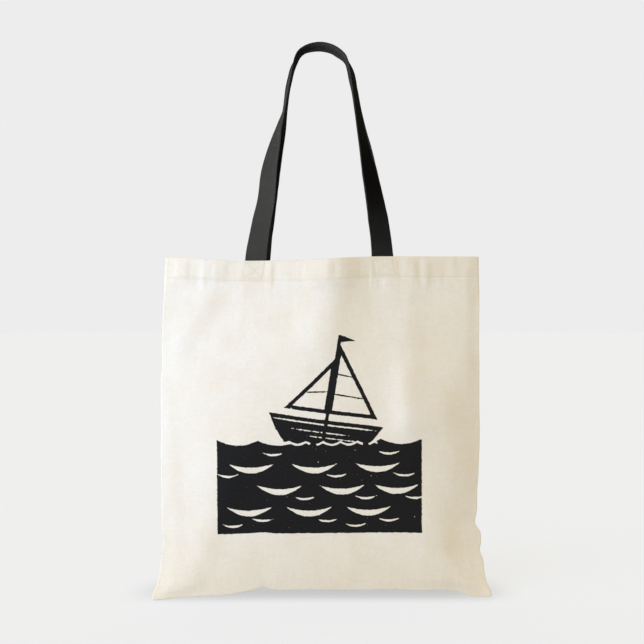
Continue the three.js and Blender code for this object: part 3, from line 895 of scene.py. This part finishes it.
for label, side in (("front", FRONT), ("back", BACK)):
    reach = FLAT_HALF - 2.5 * MM
    hem_row = [row_of_stitches((-reach, STITCH_DOWN), (reach, STITCH_DOWN))]
    add_stitching(f"{label}_hem_thread", f"{label}_hem_stitch",
                  [sewn_stitches(side, hem_row, 0), sewn_stitches(side, hem_row, FOLD_DEPTH)])
    for end, mouth_x in zip(("right", "left"), MOUTH_X[side]):
        rows = box_rows(mouth_x)
        inner = STRAP_DEPTH + WEBBING_THICKNESS / 2
        add_stitching(f"{label}_{end}_box_thread", f"{label}_{end}_box_stitch",
                      [sewn_stitches(side, rows, 0), sewn_stitches(side, rows, inner)])


# --- Overlocked seam allowances, inside the bag ---

SIDE_SPAN, BOTTOM_SPAN = (30 * MM, 372 * MM), (-158 * MM, 158 * MM)
ALLOWANCE_SPAN = {"left": SIDE_SPAN, "right": SIDE_SPAN, "bottom": BOTTOM_SPAN}
OVERLOCK_PITCH = 3.4 * MM
OVERLOCK_EDGE, OVERLOCK_CHAIN = 12.6 * MM, 6.6 * MM      # its two rows' distances from the seam
OVERLOCK_RADIUS = 0.2 * MM


def allowance_points(kind, along, inset):
    """Points on the bag's middle plane: along a side (down) or the bottom (across), inset from the seam."""
    if kind == "bottom":
        across, down = along, FLAT_HEIGHT - inset
    else:
        across, down = (-1 if kind == "left" else 1) * (FLAT_HALF - inset), along
    places = drape(FRONT, across, down)
    wave = 0.35 * MM * value_noise(along, inset, 19 * MM, 30 * MM, 70 + len(kind))
    places[..., 1] = wave * smoothstep(2 * MM, 6 * MM, inset)
    return places


def add_allowance(name, kind, start, end, replaced):
    """Two layers of canvas, bound along their raw edge with a row of overlock thread."""
    lengths = np.linspace(start, end, round((end - start) / (3 * MM)) + 1)
    widths = np.array([1.6, 3, 5, 7, 9, 11, 12.2]) * MM
    half = 0.5 * MM
    insets = np.concatenate([widths, widths[::-1]])
    faces_out = np.concatenate([np.full(len(widths), half), np.full(len(widths), -half)])
    points = allowance_points(kind, *np.meshgrid(lengths, insets, indexing="ij"))
    points[..., 1] += faces_out
    faces, uvs = sweep(len(lengths), len(insets), kind == "right",
                       lambda station, place: (insets[place % len(insets)], lengths[station]),
                       lambda station, place: (insets[place], lengths[station] + faces_out[place]))
    strip = add_mesh(name, points.reshape(-1, 3), faces, CANVAS_LOOK, uvs)
    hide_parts(replaced)
    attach(strip, "bag")

    pitch = OVERLOCK_PITCH
    marks = np.arange(start + pitch, end - pitch, pitch)
    first, last, normals = [], [], []
    for face in (1, -1):
        lift = np.array((0, face * half, 0))
        raw = allowance_points(kind, marks, marks * 0 + OVERLOCK_EDGE) + lift
        inside = allowance_points(kind, marks + pitch * 0.45, marks * 0 + OVERLOCK_CHAIN) + lift
        chained = allowance_points(kind, marks + pitch * 0.95, marks * 0 + OVERLOCK_CHAIN) + lift
        first += [raw, inside]
        last += [inside, chained]
        normals += [np.tile((0, face, 0.0), (len(marks), 1))] * 2
    mesh = stitches_mesh(np.vstack(first), np.vstack(last), np.vstack(normals), OVERLOCK_RADIUS)
    thread = add_mesh(f"{name}_overlock", *mesh[:2], THREAD_LOOK, mesh[2])
    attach(thread, "bag")
    return strip, thread


for kind, (start, end) in ALLOWANCE_SPAN.items():
    node = "bottom_seam" if kind == "bottom" else f"{kind}_side_seam"
    strip, thread = add_allowance(f"{kind}_allowance", kind, start, end, node)


# --- Print: a small sailing boat heeling over on a sea of light wave lines ---

PRINT_HALF = 117.0            # the drawing is in millimetres, from the middle of the print's foot
PRINT_TOP = 244.0
PRINT_FOOT = 328.0            # below the mouth
PRINT_SHIFT = -2.0
WATERLINE = 112.0
HEEL = math.radians(-9)
BOAT_SHIFT = 4.0
SAIL_OUTLINE = 4.5
INK_LIFT = 0.15 * MM
INK_CELL = 0.8
INK_MARGIN = 2


def polygon_field(x, y, corners):
    """Signed distance to a polygon, positive inside."""
    nearest = np.full(x.shape, np.inf)
    inside = np.zeros(x.shape, bool)
    for (x0, y0), (x1, y1) in zip(corners, corners[1:] + corners[:1]):
        nearest = np.minimum(nearest, from_segment(x, y, (x0, y0), (x1, y1))[0])
        if y0 != y1:
            inside ^= ((y0 > y) != (y1 > y)) & (x < (x1 - x0) * (y - y0) / (y1 - y0) + x0)
    return np.where(inside, nearest, -nearest)


def stroke_field(x, y, start, end, half_width):
    """Signed distance to a straight stroke with pointed ends, positive inside."""
    away, share = from_segment(x, y, start, end)
    return half_width * np.minimum(1, 6 * np.minimum(share, 1 - share) + 0.15) - away


# Light waves: their length, rise and belly, then their rows, each a height and its waves' left ends.
WAVE_ROWS = [
    ((52.0, 16.0, 7.0), [(84, (-104, -32, 40)), (58, (-72, 0, 62)), (32, (-106, -38, 30))]),
    ((26, 7, 2.6), [(98, (-66, 66)), (72, (-118, 6, 84)), (45, (-30, 40, 96)), (18, (-78, -4, 66)),
                    (12, (-112, 28))]),
]


def wave_field(x, y, start, height, length, rise, belly):
    """A light crescent: a wave line between two shallow curves."""
    share = np.clip((x - start) / length, 0, 1)
    arch = 2 * share * (1 - share)
    return belly * arch - np.abs(y - height + rise * arch) - 40 * ((x < start) | (x > start + length))


def sea_field(x, y):
    crest_width = 2 * PRINT_HALF / 5
    share = np.mod(x + PRINT_HALF, crest_width) / crest_width
    surface = WATERLINE - 12 * 2 * share * (1 - share)
    field = np.minimum(surface - y, np.minimum(y, PRINT_HALF - np.abs(x)))
    for size, rows in WAVE_ROWS:
        for height, starts in rows:
            for start in starts:
                field = np.minimum(field, -wave_field(x, y, start, height, *size))
    return field


def boat_field(x, y):
    bx, by = x - BOAT_SHIFT, y - WATERLINE
    x = bx * math.cos(HEEL) + by * math.sin(HEEL)
    y = -bx * math.sin(HEEL) + by * math.cos(HEEL)
    hull = polygon_field(x, y, [(-44, -8), (44, -8), (57, 8), (66, 24), (-66, 24), (-56, 6)])
    planks = [((-61, 18.5), (61, 18.5), 0.9), ((-40, 9), (30, 9), 0.6), ((-20, 3), (44, 3), 0.55)]
    for plank in planks:
        hull = np.minimum(hull, -stroke_field(x, y, *plank))
    mast = polygon_field(x, y, [(-2, 0), (2, 0), (2, 126), (-2, 126)])
    main = polygon_field(x, y, [(0, 32), (58, 32), (0, 118)])
    main = np.minimum(main, SAIL_OUTLINE - main)
    jib = polygon_field(x, y, [(0, 32), (0, 100), (-50, 32)])
    jib = np.minimum(jib, SAIL_OUTLINE - jib)
    field = np.maximum(np.maximum(hull, mast), np.maximum(main, jib))
    for height in (56, 80):
        width = 58 * (118 - height) / 86
        field = np.maximum(field, stroke_field(x, y, (3, height), (width - 3, height - 2), 0.8))
    field = np.maximum(field, stroke_field(x, y, (-4, 58), (-30, 54), 0.8))
    pennant = polygon_field(x, y, [(2, 126), (2, 118), (18, 121)])
    return np.maximum(field, pennant)


def print_field(x, y):
    """Positive where there is ink. A fine unevenness roughens every edge, as in a block print."""
    boat = boat_field(x, y)
    sea = sea_field(x, y)
    # A light line of foam parts the hull from the sea, broken in a few places.
    bx, by = x - BOAT_SHIFT, y - WATERLINE
    foam_y = -2 - 3.4 * np.abs(np.sin(bx * 0.16)) - bx * 0.02
    foam = 1.3 - np.abs(by - foam_y) - 20 * (np.abs(bx) > 62)
    foam = np.minimum(foam, 6 * np.abs(np.sin(bx * 0.052 + 0.6)) - 1.0)
    field = np.minimum(np.maximum(boat, sea), -foam)
    rough = 0.32 * value_noise(x, y, 2.1, 2.1, 41) + 0.2 * value_noise(x, y, 0.9, 0.9, 42)
    pinholes = 7 * (value_noise(x, y, 1.3, 1.3, 43) - 0.93)
    return np.minimum(field + rough, -pinholes)


def add_print(name):
    """The ink as a skin on the canvas: every grid cell with ink in it, cut where the field crosses zero."""
    xs = np.arange(-PRINT_HALF - INK_MARGIN, PRINT_HALF + INK_MARGIN + INK_CELL, INK_CELL)
    ys = np.arange(-INK_MARGIN, PRINT_TOP + INK_MARGIN + INK_CELL, INK_CELL)
    field = print_field(*np.meshgrid(xs, ys, indexing="ij"))
    inside = field > 0
    points, lookup, faces = [], {}, []

    def corner(i, j):
        key = (i, j)
        if key not in lookup:
            lookup[key] = len(points)
            points.append((xs[i], ys[j]))
        return lookup[key]

    def crossing(a, b):
        key = (a, b) if a < b else (b, a)
        if key not in lookup:
            share = min(max(field[a] / (field[a] - field[b]), 0.02), 0.98)
            lookup[key] = len(points)
            (x0, y0), (x1, y1) = ((xs[i], ys[j]) for i, j in (a, b))
            points.append((x0 + (x1 - x0) * share, y0 + (y1 - y0) * share))
        return lookup[key]

    touched = inside[:-1, :-1] | inside[1:, :-1] | inside[1:, 1:] | inside[:-1, 1:]
    for i, j in zip(*(index.tolist() for index in np.nonzero(touched))):
        ring, cells = [], [(i, j), (i + 1, j), (i + 1, j + 1), (i, j + 1)]
        for a, b in zip(cells, cells[1:] + cells[:1]):
            if inside[a]:
                ring.append(corner(*a))
            if inside[a] != inside[b]:
                ring.append(crossing(a, b))
        faces.append(ring)
    flat = np.array(points)
    across = (flat[:, 0] + PRINT_SHIFT) * MM * FLAT_HALF / MOUTH_HALF_WIDTH
    down = (PRINT_FOOT - flat[:, 1]) * MM
    placed = drape(FRONT, across, down) + outward(FRONT, across, down) * INK_LIFT
    order = np.fromiter(chain.from_iterable(faces), dtype=np.int32)
    ink = add_mesh(name, placed, faces, INK_LOOK, np.stack([across[order], down[order]], axis=-1))
    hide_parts("front_print")
    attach(ink, "bag")
    return ink


ink = add_print("front_ink")


# --- Studio: a pale floor just below the bottom corners, a warm room and soft lights from the left ---

BACKDROP = 0.846
ROOM_COLOUR = (1.0, 0.86, 0.57)
ROOM_LEFT, ROOM_RIGHT = 1.06, 0.76
KEY_COLOUR = (0.48, 0.64, 1.0)
KEY_POWER = 10.2
KEY_X, KEY_Y, KEY_Z = -0.81, 0.68, -0.14
WEBBING_KEY_COLOUR = (1, 0.98, 0.93)
WEBBING_KEY_POWER = {FRONT: 88, BACK: 17.6}
WEBBING_KEY_X, WEBBING_KEY_Y, WEBBING_KEY_Z = -0.48, 0.32, -0.5
SOFTBOX_SIZE = (0.5, 0.8)
FLOOR_COLOUR = (0.215, 0.25, 0.377)
FLOOR_HALF_SIZE = 40
FLOOR_GLOW = 0.64
UNSEEN_GLOW = 0.75            # the share of its glow with which the floor lights the bag
SHADE_GLOW = 0.62             # and the share left in the middle of the painted shadow behind the bag
GLOW_COLOUR = (1.0, 0.987, 0.94)
FLOOR_SUN = 0.6
SUN_PLACE = (-0.5, -0.8, 0.6)
SUN_ANGLE = math.radians(24)
BAG_MIDDLE = (0, 0, -0.42)


def add_floor():
    """A floor as bright as the backdrop. It glows, but less so just behind the bag: a painted soft shadow.
    """
    lowest = min((front_canvas.matrix_world @ v.co).z for v in front_canvas.data.vertices)
    z = lowest - 0.5 * MM
    size = FLOOR_HALF_SIZE
    corners = [(-size, -size, z), (size, -size, z), (size, size, z), (-size, size, z)]
    shader = Shader("floor")
    seen = shader.node("ShaderNodeLightPath").outputs["Is Camera Ray"]
    x, y, _ = shader.split(shader.node("ShaderNodeNewGeometry").outputs["Position"])
    # Painted shadow: the glow is dimmed by position, just behind the bag.
    shade = shader.ramp(shader.math("ABSOLUTE", x), 0.25, 0.15, smooth=True)
    shade = shader.math("MULTIPLY", shade, shader.ramp(y, -0.03, 0.055, smooth=True))
    shade = shader.math("MULTIPLY", shade, shader.ramp(y, 0.17, 0.06, smooth=True))
    glow = shader.math("MULTIPLY", shader.ramp(seen, 0, 1, UNSEEN_GLOW, 1.0), FLOOR_GLOW)
    glow = shader.math("MULTIPLY", glow, shader.ramp(shade, 0, 1, 1.0, SHADE_GLOW))
    shader.set_surface({"Base Color": (*FLOOR_COLOUR, 1), "Roughness": 1.0, "Specular IOR Level": 0.0,
                        "Emission Color": (*GLOW_COLOUR, 1), "Emission Strength": glow})
    floor = add_mesh("floor", corners, [(0, 1, 2, 3)], shader.material, smooth=False)
    return floor


def add_world():
    """A warm room, brighter on its left, which the camera sees as a plain backdrop."""
    world = bpy.data.worlds.new("studio")
    bpy.context.scene.world = world
    world.use_nodes = True
    nodes = Nodes(world.node_tree)
    nodes.tree.nodes.clear()
    direction = nodes.split(nodes.node("ShaderNodeTexCoord").outputs["Generated"])
    pick = nodes.node("ShaderNodeMixShader")
    nodes.feed(pick.inputs[0], nodes.node("ShaderNodeLightPath").outputs["Is Camera Ray"])
    room = nodes.ramp(direction[0], -1.0, 1.0, ROOM_LEFT, ROOM_RIGHT)
    for index, colour, strength in ((1, ROOM_COLOUR, room), (2, (BACKDROP,) * 3, 1.0)):
        background = nodes.node("ShaderNodeBackground")
        background.inputs["Color"].default_value = (*colour, 1)
        nodes.feed(background.inputs["Strength"], strength)
        nodes.feed(pick.inputs[index], background.outputs[0])
    nodes.feed(nodes.node("ShaderNodeOutputWorld").inputs["Surface"], pick.outputs[0])


def add_light(name, kind, place, power, colour, lit):
    """A light aimed at the middle of the bag that falls on the pieces of one collection only."""
    data = bpy.data.lights.new(name, kind)
    data.energy = power
    data.color = colour
    light = bpy.data.objects.new(name, data)
    light.location = place
    light.rotation_euler = (Vector(BAG_MIDDLE) - Vector(place)).to_track_quat("-Z", "Y").to_euler()
    bpy.context.scene.collection.objects.link(light)
    light.light_linking.receiver_collection = lit
    light.visible_camera = False
    return data


def add_softbox(name, place, power, colour, lit):
    data = add_light(name, "AREA", place, power, colour, lit)
    data.shape = "RECTANGLE"
    data.size, data.size_y = SOFTBOX_SIZE


def collection_of(name, pieces):
    collection = bpy.data.collections.new(name)
    for piece in pieces:
        collection.objects.link(piece)
    return collection


webbing = collection_of("webbing", [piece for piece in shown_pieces() if "webbing" in piece.name])
cloth = collection_of("cloth", [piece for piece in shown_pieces() if "webbing" not in piece.name])
stage = collection_of("stage", [add_floor()])
add_world()
for side in (FRONT, BACK):
    add_softbox("key", (KEY_X, side * KEY_Y, KEY_Z), KEY_POWER, KEY_COLOUR, cloth)
for side, power in WEBBING_KEY_POWER.items():
    place = (WEBBING_KEY_X, side * WEBBING_KEY_Y, WEBBING_KEY_Z)
    add_softbox("webbing_key", place, power, WEBBING_KEY_COLOUR, webbing)
add_light("floor_sun", "SUN", SUN_PLACE, FLOOR_SUN, (1, 1, 1), stage).angle = SUN_ANGLE

bpy.context.scene.view_settings.view_transform = "Standard"
